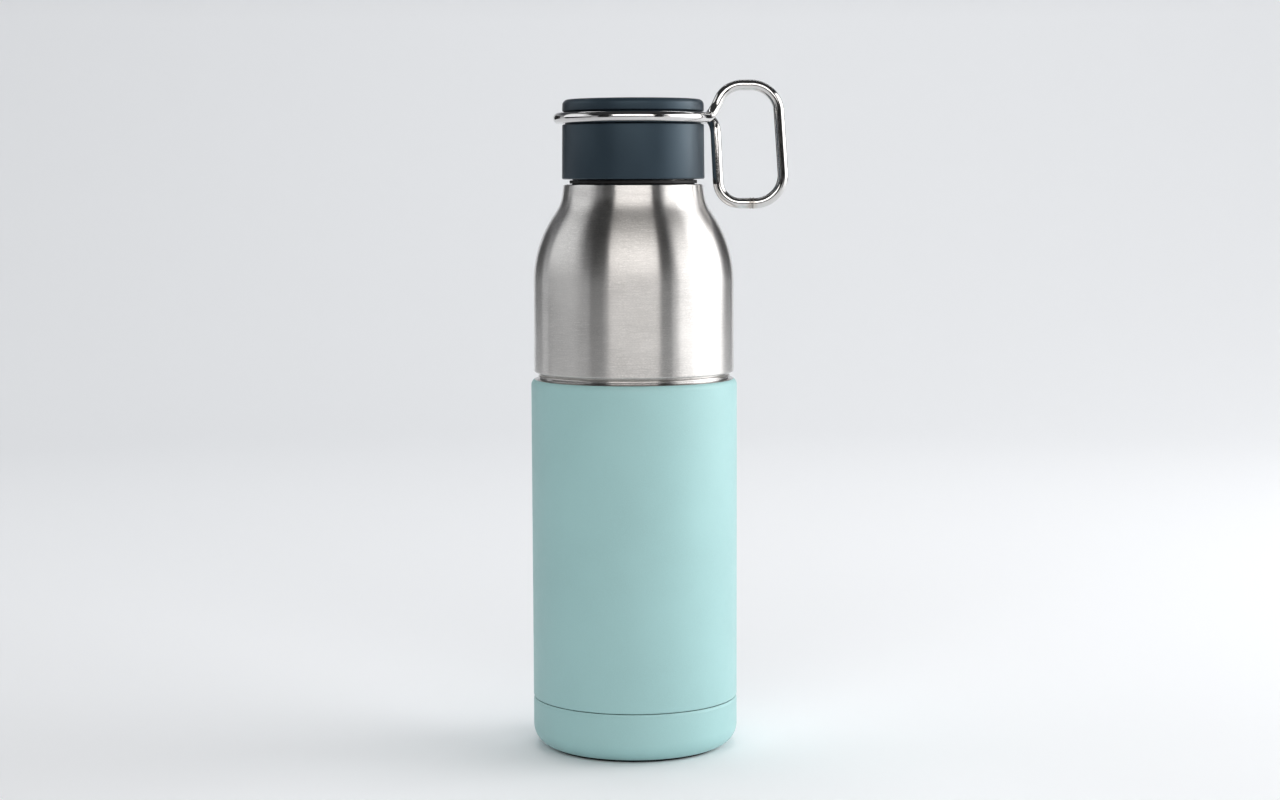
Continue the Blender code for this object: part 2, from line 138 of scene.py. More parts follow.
# ---- screw thread ---------------------------------------------------------------------------
THREAD_PITCH = 0.0040
THREAD_HALF_WIDTH = 0.00115
NECK_RIDGE_HEIGHT = 0.0011
NECK_RIDGE_START_Z = 0.2086
NECK_RIDGE_TURNS = 1.5
LID_RIDGE_HEIGHT = 0.0011
LID_RIDGE_START_Z = 0.2080
LID_RIDGE_TURNS = 1.25
RUN_OUT_TURNS = 0.09        # part of a turn over which a ridge fades out
THREAD_CREST = 1.4          # above 1, the ridge has a blunter crest than a cosine
THREAD_ROW = 0.00022        # height between two rows of a threaded wall

# ---- lid ------------------------------------------------------------------------------------
LID_RIM_R = 0.0253
LID_TOP_R = 0.0252
LID_FOOT_EDGE = 0.0006
LID_TOP_EDGE = 0.0020
LID_DISH_R = 0.0215
LID_DISH_DEPTH = 0.00045
WIRE_GROOVE_R = 0.0243
WIRE_GROOVE_FOOT_Z = 0.2243
WIRE_GROOVE_TOP_Z = skirt_high.z + GAP
SKIRT_BORE_R = 0.0242
SKIRT_NECK_BORE_R = 0.0231
SKIRT_STEP_Z = 0.2219
SPIGOT_R = 0.0228
SPIGOT_BORE_R = 0.0214
CAP_CEILING_Z = 0.2314
INSERT_CEILING_Z = gasket_high.z + GAP
THREAD_ROOT_R = 0.0228
PLUG_R = 0.0190
PLUG_FOOT_Z = 0.2090
PLUG_EDGE = 0.0015
PLUG_DISH_R = 0.0145
PLUG_DISH_DEPTH = 0.0006
CUP_R = 0.0176
CUP_FLOOR_Z = 0.2105
GASKET_BORE_R = 0.0194
GASKET_EDGE = 0.0006

# ---- wire -----------------------------------------------------------------------------------
WIRE_R = 0.0019
WIRE_BEVEL = 10             # fineness of the wire's round section
RING_R = 0.0267             # centre line of the wire where it goes round the lid
RING_Z = 0.2266             # height of that circle, in the middle of the lid's groove
RING_STEP = math.radians(2.0)
BEND_STEP = math.radians(5.0)
FRONT_BEND = (Vector((0.0278, -0.0026, RING_Z)), 0.008)
BACK_BEND = (Vector((0.0293, 0.0022, RING_Z)), 0.006)
LOOP_BENDS = [
    (Vector((0.0307, 0.0, 0.1962)), 0.008),
    (Vector((0.0542, 0.0, 0.1962)), 0.010),
    (Vector((0.0514, 0.0, 0.2382)), 0.010),
    (Vector((0.0330, 0.0, 0.2382)), 0.009),
]
WELD = Vector((0.0424, 0.0, 0.1962))
WELD_HALF_GAP = 0.00055     # from the weld's middle to each of its two ridges
WELD_RIDGE = 0.00016        # how far the ridges stand proud of the wire
WELD_RIDGE_WIDTH = 0.00022
WELD_HEAT_COLOR = (0.40, 0.34, 0.27)
WELD_HEAT_END = 0.0030      # from the weld's middle to where the heat tint fades out
WELD_SEAM_COLOR = (0.06, 0.055, 0.05)
WELD_SEAM_WIDTH = 0.00008
WELD_REACH = 0.00088        # from the weld's middle to the last of its extra points
WELD_POINTS = 23

# ---- colours of the finishes ----------------------------------------------------------------
BRUSHED_STEEL = (0.81, 0.787, 0.761)
NECK_STEEL = (0.70, 0.69, 0.67)
# darker than the brushed steel: painted shade on the steel edge down in the groove
SHADED_EDGE_STEEL = (0.56, 0.545, 0.53)
LINER_STEEL = (0.66, 0.65, 0.64)
WIRE_STEEL = (0.66, 0.65, 0.64)
CLIP_STEEL = (0.55, 0.55, 0.55)
COAT_GREEN = (0.36, 0.59, 0.59)
LID_BLUE = (0.018, 0.029, 0.040)
INSERT_BLACK = (0.035, 0.036, 0.040)
# near-black rubber; on the neck band and the pad's edge its depth of black is also painted shade for
# the dark gap under the lid and the dark line under the base
BLACK_RUBBER_AND_SHADE = (0.006, 0.006, 0.007)
GASKET_CLEAR = (0.72, 0.74, 0.75)
FOAM_CREAM = (0.85, 0.84, 0.80)
FOAM_SHADE = (0.62, 0.61, 0.57)
GLASS_GREEN = (0.16, 0.24, 0.20)
GLASS_PALE = (0.32, 0.40, 0.34)
POWDER_GREY = (0.20, 0.20, 0.21)
POWDER_PALE = (0.38, 0.37, 0.36)
FLAG_BLACK = (0.01, 0.01, 0.01)

# ---- camera and studio ----------------------------------------------------------------------
CAMERA_PLACE = Vector((0.0024, -0.8673, 0.2036))
CAMERA_PITCH = math.radians(-5.14)
CAMERA_ROLL = math.radians(0.21)
CAMERA_LENS = 67.9
SENSOR_WIDTH = 36.0
STUDIO_R = 2.6
STUDIO_CURVE_R = 1.5
STUDIO_HEIGHT = 2.4
SKY_COLOR = (0.93, 0.96, 1.0)
SKY_STRENGTH = 0.05
BOTTLE_AIM = (0.0, 0.0, 0.14)
FLOOR_AIM = (0.0, 0.15, 0.0)
WALL_AIM = (0.30, 2.30, 0.20)
SOFTBOXES = [       # name, degrees round from the camera, distance, height, aim, size, watts, colour
    ("front_box", 2.0, 1.45, 0.86, BOTTLE_AIM, (1.80, 0.74), 13.2, (1.0, 0.975, 0.955)),
    ("right_box", 88.0, 1.30, 0.55, BOTTLE_AIM, (1.90, 1.10), 14.3, (1.0, 0.99, 0.985)),
    ("right_key", 95.0, 1.15, 0.52, BOTTLE_AIM, (0.75, 0.60), 4.2, (0.97, 0.99, 1.0)),
    ("left_box", -91.0, 1.30, 0.82, BOTTLE_AIM, (1.50, 1.00), 5.2, (0.97, 0.985, 1.0)),
    ("top_box", 180.0, 0.45, 1.80, FLOOR_AIM, (1.30, 0.80), 10.5, (0.98, 0.99, 1.0)),
    ("wall_light", 168.0, 1.30, 1.75, WALL_AIM, (2.2, 0.6), 12.5, (0.98, 0.99, 1.0)),
]
UNSEEN_IN_GLOSS = ("top_box",)      # lights the floor, and would put a white line on each wire
FLAGS = [           # name, degrees round from the camera, distance, width, lower and upper edge
    ("left_flag", -42.0, 0.75, 0.23, 0.02, 1.20),
    ("left_high_flag", -65.0, 0.75, 0.32, 0.50, 1.10),
    ("right_flag", 37.0, 0.75, 0.18, 0.02, 1.50),
    ("left_low_flag", -88.0, 1.00, 1.00, 0.00, 0.28),
    ("front_low_flag", 0.0, 1.35, 1.70, 0.10, 0.50),
]
REAR_FLAGS = [      # only darken the edges of the steel, and throw no shadow on the backdrop
    ("left_rear_flag", -142.0, 1.30, 0.62, 0.06, 0.55),
    ("right_rear_flag", 142.0, 1.30, 0.62, 0.06, 0.60),
]
PAPER_COLOR = (0.92, 0.93, 0.945)
# colour of the painted shade towards the top of the studio wall
PAPER_SHADE_COLOR = (0.16, 0.165, 0.18)
PAPER_SHADE_FADE = (0.40, 1.40)       # heights between which the paper is painted darker, as painted shade up the wall


# ---- outlines -------------------------------------------------------------------------------
def bend_points(before, corner, after, radius, max_step):
    """Points of the arc that rounds one corner of a route, for 2D or 3D vectors."""
    incoming = (corner - before).normalized()
    outgoing = (after - corner).normalized()
    turn = incoming.angle(outgoing)
    reach = radius * math.tan(turn / 2)
    inward = (outgoing - incoming).normalized()
    centre = corner + inward * (radius / math.cos(turn / 2))
    first = (corner - incoming * reach - centre).normalized()
    steps = max(3, math.ceil(turn / max_step))
    points = []
    for i in range(steps + 1):
        angle = turn * i / steps
        points.append(centre + (first * math.cos(angle) + incoming * math.sin(angle)) * radius)
    return points


def rounded(outline, closed=False):
    """Turn (radius, height[, fillet]) corners into points, with an arc at each fillet."""
    corners = [Vector(corner[:2]) for corner in outline]
    fillets = [corner[2] if len(corner) > 2 else 0.0 for corner in outline]
    points = []
    last = len(corners) - 1
    for i, corner in enumerate(corners):
        if fillets[i] == 0.0 or (not closed and i in (0, last)):
            points.append(corner)
            continue
        before = corners[i - 1]
        after = corners[(i + 1) % len(corners)]
        max_step = 2 * math.acos(1 - ARC_TOLERANCE / fillets[i])
        points.extend(bend_points(before, corner, after, fillets[i], max_step))
    return points


def rows_between(radius, top_z, foot_z):
    """Evenly spaced points down a straight wall that will carry a thread."""
    count = round((top_z - foot_z) / THREAD_ROW)
    return [Vector((radius, top_z + (foot_z - top_z) * i / count)) for i in range(count + 1)]


def thread_height(angle, z, start_z, turns, height):
    """How far a rolled ridge stands out at an angle and height on a threaded wall."""
    turn_now = angle / (2 * math.pi)
    first_turn = (start_z - NECK_RIDGE_START_Z) / THREAD_PITCH
    best = 0.0
    for whole in range(-1, math.ceil(turns) + 2):
        along = turn_now + whole - first_turn
        fade = min(along, turns - along) / RUN_OUT_TURNS
        if fade <= 0:
            continue
        away = abs(z - start_z - along * THREAD_PITCH) / THREAD_HALF_WIDTH
        if away < 1:
            best = max(best, min(1.0, fade) * 0.5 * (1 + math.cos(math.pi * away ** THREAD_CREST)))
    return height * best


# ---- pieces ---------------------------------------------------------------------------------
def finish_mesh(obj, mat, body, slot, *nodes):
    """Shade a piece, give it its finish, and let it stand for CAD nodes on a body."""
    mesh = obj.data
    mesh.shade_smooth()
    mesh.set_sharp_from_angle(angle=SHARP_ANGLE)
    mesh.materials.append(mat)
    bpy.context.scene.collection.objects.link(obj)
    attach(obj, body)
    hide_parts(*nodes)
    return obj


def lathe(name, points, closed=False, segments=SEGMENTS, swell=None):
    """Turn points round Z into a mesh.  A point on the axis becomes the middle of a fan.

    swell(angle, radius, z) gives what is added to the radius, for a rolled thread.
    """
    vertices = []
    rings = []
    for point in points:
        if point.x == 0.0:
            rings.append([len(vertices)] * segments)
            vertices.append((0.0, 0.0, point.y))
            continue
        rings.append(list(range(len(vertices), len(vertices) + segments)))
        for k in range(segments):
            angle = 2 * math.pi * k / segments
            radius = point.x + (swell(angle, point.x, point.y) if swell else 0.0)
            vertices.append((radius * math.cos(angle), radius * math.sin(angle), point.y))
    pairs = list(zip(rings, rings[1:]))
    if closed:
        pairs.append((rings[-1], rings[0]))
    faces = []
    for upper, lower in pairs:
        for k in range(segments):
            nxt = (k + 1) % segments
            corners = list(dict.fromkeys([upper[k], lower[k], lower[nxt], upper[nxt]]))
            if len(corners) > 2:
                faces.append(corners)
    mesh = bpy.data.meshes.new(name)
    mesh.from_pydata(vertices, [], faces)
    return bpy.data.objects.new(name, mesh)


def offset_inward(points, wall):
    """The inner side of a sheet: each point moved against the outline's outward side."""
    inner = []
    for i, point in enumerate(points):
        before = points[max(i - 1, 0)]
        after = points[min(i + 1, len(points) - 1)]
        first = (point - before).normalized() if i > 0 else (after - point).normalized()
        second = (after - point).normalized() if i < len(points) - 1 else first
        along = (first + second).normalized()
        mitre = wall / max(MITRE_LIMIT, along.dot(first))
        inner.append(point + Vector((along.y, -along.x)) * mitre)
    return inner


def sheet_outline(points, wall, lining=None):
    """Closed outline of a sheet-metal wall from the points of its outer side.

    lining is a plainer outer side from which the inner side is measured, where the real one
    has a groove cut in it or a bend that is tighter than the wall.
    """
    inner = [point for point in offset_inward(lining or points, wall) if point.x >= 0.0]
    if points[-1].x == 0.0:
        inner[-1] = Vector((0.0, inner[-1].y))
    return points + inner[::-1]


# ---- materials ------------------------------------------------------------------------------
class Finish:
    """A Principled material that is built up from procedural layers."""

    def __init__(self, name, color, roughness, metallic=0.0, **sockets):
        self.material = bpy.data.materials.new(name)
        self.material.use_nodes = True
        self.tree = self.material.node_tree
        self.shader = self.tree.nodes["Principled BSDF"]
        self.color = color
        self.shader.inputs["Base Color"].default_value = (*color, 1.0)
        self.shader.inputs["Roughness"].default_value = roughness
        self.shader.inputs["Metallic"].default_value = metallic
        for socket, value in sockets.items():
            self.shader.inputs[socket.replace("_", " ")].default_value = value
        self.place = self.tree.nodes.new("ShaderNodeTexCoord").outputs["Object"]
        self.last_normal = None

    def node(self, kind, inputs=None, **settings):
        """Add a node with its settings; inputs are values or sockets, by name or number."""
        node = self.tree.nodes.new(kind)
        for key, value in settings.items():
            setattr(node, key, value)
        for key, value in (inputs or {}).items():
            if isinstance(value, bpy.types.NodeSocket):
                self.tree.links.new(value, node.inputs[key])
            else:
                node.inputs[key].default_value = value
        return node

    def grain(self, scale, detail=3.0, rough=0.5, seed=0.0):
        """Noise with its own number of cells per metre along each axis."""
        placed = self.node("ShaderNodeMapping", {
            "Vector": self.place, "Scale": scale, "Location": (seed, seed, seed)})
        noise = self.node("ShaderNodeTexNoise", {
            "Vector": placed.outputs[0], "Scale": 1.0, "Detail": detail, "Roughness": rough})
        return noise.outputs["Fac"]

    def spread(self, value, low, high, from_low=0.3, from_high=0.7):
        """Map a noise value to a range."""
        mapped = self.node("ShaderNodeMapRange", {
            "Value": value, "From Min": from_low, "From Max": from_high,
            "To Min": low, "To Max": high})
        return mapped.outputs["Result"]

    def tint(self, value, other, amount=1.0, from_low=0.3, from_high=0.7):
        """Blend the colour towards another one as a value goes through a range."""
        mix = self.node("ShaderNodeMix", data_type='RGBA')
        factor = self.spread(value, 0.0, amount, from_low, from_high)
        self.tree.links.new(factor, mix.inputs["Factor"])
        source = self.shader.inputs["Base Color"]
        if source.is_linked:
            self.tree.links.new(source.links[0].from_socket, mix.inputs["A"])
        else:
            mix.inputs["A"].default_value = (*self.color, 1.0)
        mix.inputs["B"].default_value = (*other, 1.0)
        self.tree.links.new(mix.outputs["Result"], source)

    def gloss(self, value, low, high):
        """Vary the roughness with a value."""
        self.tree.links.new(self.spread(value, low, high), self.shader.inputs["Roughness"])

    def relief(self, value, depth, strength=1.0):
        """Raise the surface by a value; depths are in metres, and layers add up."""
        bump = self.node("ShaderNodeBump", {
            "Height": value, "Distance": depth, "Strength": strength})
        if self.last_normal is not None:
            self.tree.links.new(self.last_normal, bump.inputs["Normal"])
        self.last_normal = bump.outputs["Normal"]
        self.tree.links.new(self.last_normal, self.shader.inputs["Normal"])


def brushed_round(name, color, roughness, anisotropy, line_depth):
    """Steel brushed round the Z axis, so that its highlights stretch along the axis."""
    finish = Finish(name, color, roughness, metallic=1.0, Anisotropic=anisotropy,
                    Anisotropic_Rotation=0.25)
    tangent = finish.node("ShaderNodeTangent", direction_type='RADIAL', axis='Z')
    finish.tree.links.new(tangent.outputs[0], finish.shader.inputs["Tangent"])
    lines = finish.grain((210.0, 210.0, 4200.0), 3.0, 0.6)
    scratches = finish.grain((60.0, 60.0, 1700.0), 3.0, 0.6, seed=7.0)
    speckle = finish.grain((1500.0, 1500.0, 3600.0), 2.0, 0.6, seed=11.0)
    clouds = finish.grain((45.0, 45.0, 45.0), 2.0, 0.5, seed=3.0)
    finish.tint(lines, tuple(c * 0.64 for c in color))
    finish.tint(speckle, tuple(c * 0.62 for c in color))
    finish.tint(clouds, tuple(c * 0.93 for c in color), 0.6)
    finish.gloss(scratches, roughness * 0.96, roughness * 1.06)
    finish.relief(lines, line_depth)
    finish.relief(scratches, line_depth * 1.5)
    return finish.material


def polished_steel(name, color, roughness):
    """Mirror-polished steel with the faint haze and turning marks of a rolled part."""
    finish = Finish(name, color, roughness, metallic=1.0)
    marks = finish.grain((120.0, 120.0, 3200.0), 3.0, 0.6)
    haze = finish.grain((260.0, 260.0, 260.0), 3.0, 0.6, seed=5.0)
    finish.gloss(haze, roughness * 0.7, roughness * 1.5)
    finish.tint(marks, tuple(c * 0.9 for c in color), 0.7)
    finish.relief(marks, 0.0000008)
    return finish.material


def soft_coat(name, color):
    """Matt powder coat: a fine pebble, tiny specks and a slightly uneven sheen."""
    finish = Finish(name, color, 0.5, Specular_IOR_Level=0.42, Sheen_Weight=0.06,
                    Sheen_Roughness=0.4)
    pebble = finish.grain((2600.0, 2600.0, 2600.0), 2.0, 0.55)
    wave = finish.grain((420.0, 420.0, 420.0), 2.0, 0.5, seed=2.0)
    clouds = finish.grain((38.0, 38.0, 38.0), 2.0, 0.5, seed=9.0)
    finish.tint(pebble, tuple(c * 0.94 for c in color))
    finish.tint(clouds, tuple(min(1.0, c * 1.05) for c in color), 0.6)
    finish.gloss(wave, 0.44, 0.56)
    finish.relief(pebble, 0.000006)
    finish.relief(wave, 0.000010)
    return finish.material


def moulded_plastic(name, color, roughness, grain_depth=0.000006):
    """Satin moulded plastic with a spark-eroded grain and faint flow clouds."""
    finish = Finish(name, color, roughness, Specular_IOR_Level=0.46,
                    Specular_Tint=(0.62, 0.84, 1.0, 1.0))
    spark = finish.grain((3600.0, 3600.0, 3600.0), 3.0, 0.6)
    flow = finish.grain((60.0, 60.0, 25.0), 3.0, 0.55, seed=4.0)
    finish.tint(flow, tuple(min(1.0, c * 1.14) for c in color), 0.7)
    finish.tint(spark, tuple(c * 0.88 for c in color), 0.8)
    finish.gloss(flow, roughness * 0.88, roughness * 1.14)
    finish.relief(spark, grain_depth)
    return finish.material


def silicone(name, color, roughness, clear=0.0):
    """Silicone rubber with a dusty bloom; clear lets light into the material."""
    finish = Finish(name, color, roughness, Subsurface_Weight=clear, Subsurface_Scale=0.002)
    bloom = finish.grain((700.0, 700.0, 700.0), 4.0, 0.6)
    skin = finish.grain((2400.0, 2400.0, 2400.0), 2.0, 0.5, seed=6.0)
    finish.tint(bloom, tuple(min(1.0, c * 1.3 + 0.004) for c in color), 0.7)
    finish.gloss(bloom, roughness * 0.85, min(1.0, roughness * 1.2))
    finish.relief(skin, 0.000008)
    return finish.material


def drawn_wire():
    """Polished drawn wire, straw and brown where the weld has heated it."""
    finish = Finish("polished_wire", WIRE_STEEL, 0.10, metallic=1.0)
    haze = finish.grain((520.0, 520.0, 520.0), 3.0, 0.6)
    nicks = finish.grain((1500.0, 1500.0, 700.0), 2.0, 0.7, seed=8.0)
    distance = finish.node("ShaderNodeVectorMath", {0: finish.place, 1: tuple(WELD)},
                           operation='DISTANCE')
    from_ridge = finish.node("ShaderNodeMath", {
        0: distance.outputs["Value"], 1: math.hypot(WIRE_R, WELD_HALF_GAP)}, operation='SUBTRACT')
    off_ridge = finish.node("ShaderNodeMath", {0: from_ridge.outputs[0]}, operation='ABSOLUTE')
    finish.tint(haze, tuple(c * 0.92 for c in WIRE_STEEL), 0.8)
    finish.tint(distance.outputs["Value"], WELD_HEAT_COLOR, 0.45, WELD_HEAT_END, WIRE_R)
    finish.tint(off_ridge.outputs[0], WELD_SEAM_COLOR, 0.9, WELD_SEAM_WIDTH, WELD_SEAM_WIDTH / 2)
    finish.gloss(haze, 0.07, 0.14)
    finish.relief(nicks, 0.0000015)
    return finish.material


def bead_foam():
    """Expanded foam: small packed beads."""
    finish = Finish("bead_foam", FOAM_CREAM, 0.9)
    cells = finish.node("ShaderNodeTexVoronoi", {"Vector": finish.place, "Scale": 520.0})
    beads = cells.outputs["Distance"]
    finish.tint(beads, FOAM_SHADE, 0.8)
    finish.gloss(beads, 0.82, 0.95)
    finish.relief(beads, 0.0003)
    return finish.material


def solder_glass():
    """Dark green solder glass of the vacuum seal."""
    finish = Finish("solder_glass", GLASS_GREEN, 0.12)
    swirl = finish.grain((900.0, 900.0, 900.0), 3.0, 0.6)
    finish.tint(swirl, GLASS_PALE, 0.8)
    finish.gloss(swirl, 0.06, 0.22)
    finish.relief(swirl, 0.00003)
    return finish.material


def pressed_powder():
    """Pressed metal powder of the getter pill."""
    finish = Finish("pressed_powder", POWDER_GREY, 0.6, metallic=0.9)
    powder = finish.grain((4200.0, 4200.0, 4200.0), 4.0, 0.7)
    finish.tint(powder, POWDER_PALE, 0.8)
    finish.gloss(powder, 0.5, 0.8)
    finish.relief(powder, 0.00004)
    return finish.material


# ---- bottle pieces --------------------------------------------------------------------------
def make_shoulder():
    """Upper outer shell with the rolled thread on its neck."""
    points = rows_between(NECK_R, shoulder_high.z, NECK_FOOT_Z)
    points += rounded([
        (NECK_R, NECK_FOOT_Z),
        (COLLAR_R, COLLAR_TOP_Z, EDGE * 2),
        (COLLAR_R, LAND_Z, EDGE),
        (LAND_R, LAND_Z, LAND_FILLET),
        THROAT_BEND,
        SHOULDER_BEND,
        (shoulder_high.x, SHOULDER_FOOT_Z, SHOULDER_FOOT_FILLET),
        (UNDERCUT_R, SHOULDER_FOOT_Z, EDGE),
        (UNDERCUT_R, UNDERCUT_Z, EDGE),
        (WAIST_R, UNDERCUT_Z, UNDERCUT_LIP_FILLET),
        (WAIST_R, shoulder_low.z),
    ])[1:]

    def swell(angle, radius, z):
        if z < NECK_FOOT_Z or radius > NECK_R + GAP:
            return 0.0
        return thread_height(angle, z, NECK_RIDGE_START_Z, NECK_RIDGE_TURNS, NECK_RIDGE_HEIGHT)

    shoulder = lathe("steel_shoulder", sheet_outline(points, SHELL_WALL), closed=True, swell=swell)
    steel = brushed_round("brushed_steel", BRUSHED_STEEL, 0.29, anisotropy=1.0,
                          line_depth=0.0000008)
    finish_mesh(shoulder, steel, "bottle", "brushed_steel", "shoulder_shell")
    shoulder.data.materials.append(polished_steel("polished_neck", NECK_STEEL, 0.09))
    for face in shoulder.data.polygons:
        centre = face.center
        across = math.hypot(centre.x, centre.y)
        is_neck = centre.z > LAND_Z - LAND_FILLET and across < LAND_R
        face.material_index = 1 if is_neck else 0


def make_barrel(coat, shaded_edge_steel):
    """Lower outer shell: a bare steel edge in the groove, in darker steel as painted shade, then the
    coat.
    """
    groove_z = barrel_low.z + BASE_GROOVE_HALF
    top_edge = [
        (WAIST_R, WAIST_JOINT_Z),
        (WAIST_R, WAIST_LEDGE_Z, WAIST_LEDGE_FILLET),
        (barrel_high.x, WAIST_LEDGE_Z, BARREL_TOP_FILLET),
    ]
    points = rounded([
        *top_edge,
        (base_high.x, groove_z, BASE_GROOVE_SLOPE),
        (BASE_GROOVE_R, groove_z - BASE_GROOVE_SLOPE),
        (BASE_GROOVE_R, barrel_low.z),
    ])
    lining = rounded([*top_edge, (base_high.x, barrel_low.z)])
    barrel = lathe("coated_barrel", sheet_outline(points, SHELL_WALL, lining), closed=True)
    finish_mesh(barrel, coat, "bottle", "barrel_coat", "barrel_shell")
    barrel.data.materials.append(shaded_edge_steel)
    for face in barrel.data.polygons:
        across = math.hypot(face.center.x, face.center.y)
        face.material_index = 1 if across < COAT_EDGE_R and face.center.z > groove_z else 0


def make_base(coat):
    """Bottom cup of the outer shell, with the recess and the vacuum port's dimple."""
    corner = (base_high.x, BASE_CORNER_Z, BASE_FILLET)
    recess = [
        (RECESS_R, RECESS_Z, EDGE),
        (PORT_DIMPLE_R, RECESS_Z, EDGE * 2),
        (PORT_DIMPLE_TOP_R, PORT_DIMPLE_Z, EDGE),
        (PORT_HOLE_R, PORT_DIMPLE_Z),
    ]
    points = rounded([
        (BASE_GROOVE_R, base_high.z),
        (BASE_GROOVE_R, BASE_LIP_TOP_Z),
        (base_high.x, BASE_LIP_FOOT_Z, BASE_GROOVE_SLOPE),
        corner,
        (RECESS_R, base_low.z, EDGE),
        *recess,
    ])
    rim = (RECESS_R, base_low.z, BASE_RIM_INNER_FILLET)
    lining = rounded([(base_high.x, base_high.z), corner, rim, *recess])
    base = lathe("coated_base", sheet_outline(points, SHELL_WALL, lining), closed=True)
    finish_mesh(base, coat, "bottle", "base_coat", "base_cup")


def make_foot_pad():
    """Silicone pad with ring-shaped grooves in its flat underside; its near-black edge under the
    base is also painted shade, the dark contact line.
    """
    outline = [
        (0.0, pad_high.z),
        (pad_high.x, pad_high.z, EDGE),
        (pad_high.x, pad_low.z, PAD_EDGE),
    ]
    for radius in sorted(PAD_GROOVES, reverse=True):
        outline += [
            (radius + PAD_GROOVE_HALF, pad_low.z, PAD_GROOVE_EDGE),
            (radius, pad_low.z + PAD_GROOVE_DEPTH, PAD_GROOVE_EDGE),
            (radius - PAD_GROOVE_HALF, pad_low.z, PAD_GROOVE_EDGE),
        ]
    outline.append((0.0, pad_low.z))
    pad = lathe("foot_pad_disc", rounded(outline), segments=SMALL_SEGMENTS)
    rubber = silicone("pad_silicone", BLACK_RUBBER_AND_SHADE, 0.75)
    finish_mesh(pad, rubber, "bottle", "pad_silicone", "foot_pad")


def make_liner():
    """Inner flask with its rolled lip, and its pressed bottom."""
    steel = brushed_round("liner_steel", LINER_STEEL, 0.26, anisotropy=0.6,
                          line_depth=0.0000015)
    points = rounded([
        (LIP_R, LIP_UNDER_Z),
        (LINER_NECK_R, LIP_UNDER_Z, EDGE),
        LINER_THROAT,
        LINER_BEND,
        (flask_high.x, flask_low.z),
    ])
    flask = lathe("flask_liner", sheet_outline(points, LINER_WALL), closed=True)
    finish_mesh(flask, steel, "bottle", "liner_steel", "inner_flask")
    bead_z = bottom_low.z + LINER_BEAD_HEIGHT
    points = rounded([
        (bottom_high.x, bottom_high.z),
        (bottom_high.x, bottom_low.z, LINER_BOTTOM_FILLET),
        (LINER_BEAD_R + 2 * LINER_BEAD_HEIGHT, bottom_low.z, LINER_BEAD_HEIGHT),
        (LINER_BEAD_R, bead_z, LINER_BEAD_HEIGHT),
        (0.0, bead_z),
    ])
    floor = lathe("flask_liner_floor", sheet_outline(points, LINER_WALL), closed=True)
    finish_mesh(floor, steel, "bottle", "liner_bottom_steel", "liner_bottom")


def make_neck_band():
    """Black silicone band round the root of the neck; its near-black colour is also painted shade
    for the dark gap under the lid.
    """
    radius = band_high.x
    bore = COLLAR_R + GAP
    points = rounded([
        (radius, band_high.z, EDGE),
        (radius, band_low.z, EDGE / 2),
        (bore, band_low.z, EDGE / 2),
        (bore, band_high.z, EDGE),
    ], closed=True)
    band = lathe("neck_band", points, closed=True, segments=SMALL_SEGMENTS)
    rubber = silicone("ring_silicone", BLACK_RUBBER_AND_SHADE, 0.60)
    finish_mesh(band, rubber, "bottle", "ring_silicone", "neck_ring")


# ---- lid pieces -----------------------------------------------------------------------------
def make_lid_side(plastic):
    """Side wall of the lid with the floor of the wire groove."""
    points = rounded([
        (WIRE_GROOVE_R, skirt_high.z, EDGE),
        (WIRE_GROOVE_R, WIRE_GROOVE_FOOT_Z, EDGE * 2),
        (LID_RIM_R, WIRE_GROOVE_FOOT_Z, EDGE),
        (skirt_high.x, skirt_low.z, LID_FOOT_EDGE),
        (SKIRT_BORE_R, skirt_low.z, EDGE),
        (SKIRT_BORE_R, SKIRT_STEP_Z, EDGE),
        (SKIRT_NECK_BORE_R, SKIRT_STEP_Z, EDGE),
        (SKIRT_NECK_BORE_R, skirt_high.z, EDGE),
    ], closed=True)
    side = lathe("lid_side", points, closed=True)
    finish_mesh(side, plastic, "lid", "lid_plastic", "lid_skirt")


def make_lid_cap(plastic):
    """Cap of the lid, with a soft edge and a very shallow dish on top."""
    dish_z = cap_high.z - LID_DISH_DEPTH
    points = rounded([
        (0.0, dish_z),
        (LID_DISH_R - 2 * LID_DISH_DEPTH, dish_z, 2 * LID_DISH_DEPTH),
        (LID_DISH_R, cap_high.z, 2 * LID_DISH_DEPTH),
        (LID_TOP_R, cap_high.z, LID_TOP_EDGE),
        (LID_RIM_R, WIRE_GROOVE_TOP_Z, EDGE * 2),
        (SPIGOT_R, WIRE_GROOVE_TOP_Z, EDGE),
        (SPIGOT_R, cap_low.z, EDGE),
        (SPIGOT_BORE_R, cap_low.z, EDGE),
        (SPIGOT_BORE_R, CAP_CEILING_Z, EDGE),
        (0.0, CAP_CEILING_Z),
    ])
    cap = lathe("lid_cap", points)
    finish_mesh(cap, plastic, "lid", "lid_top_plastic", "lid_top")


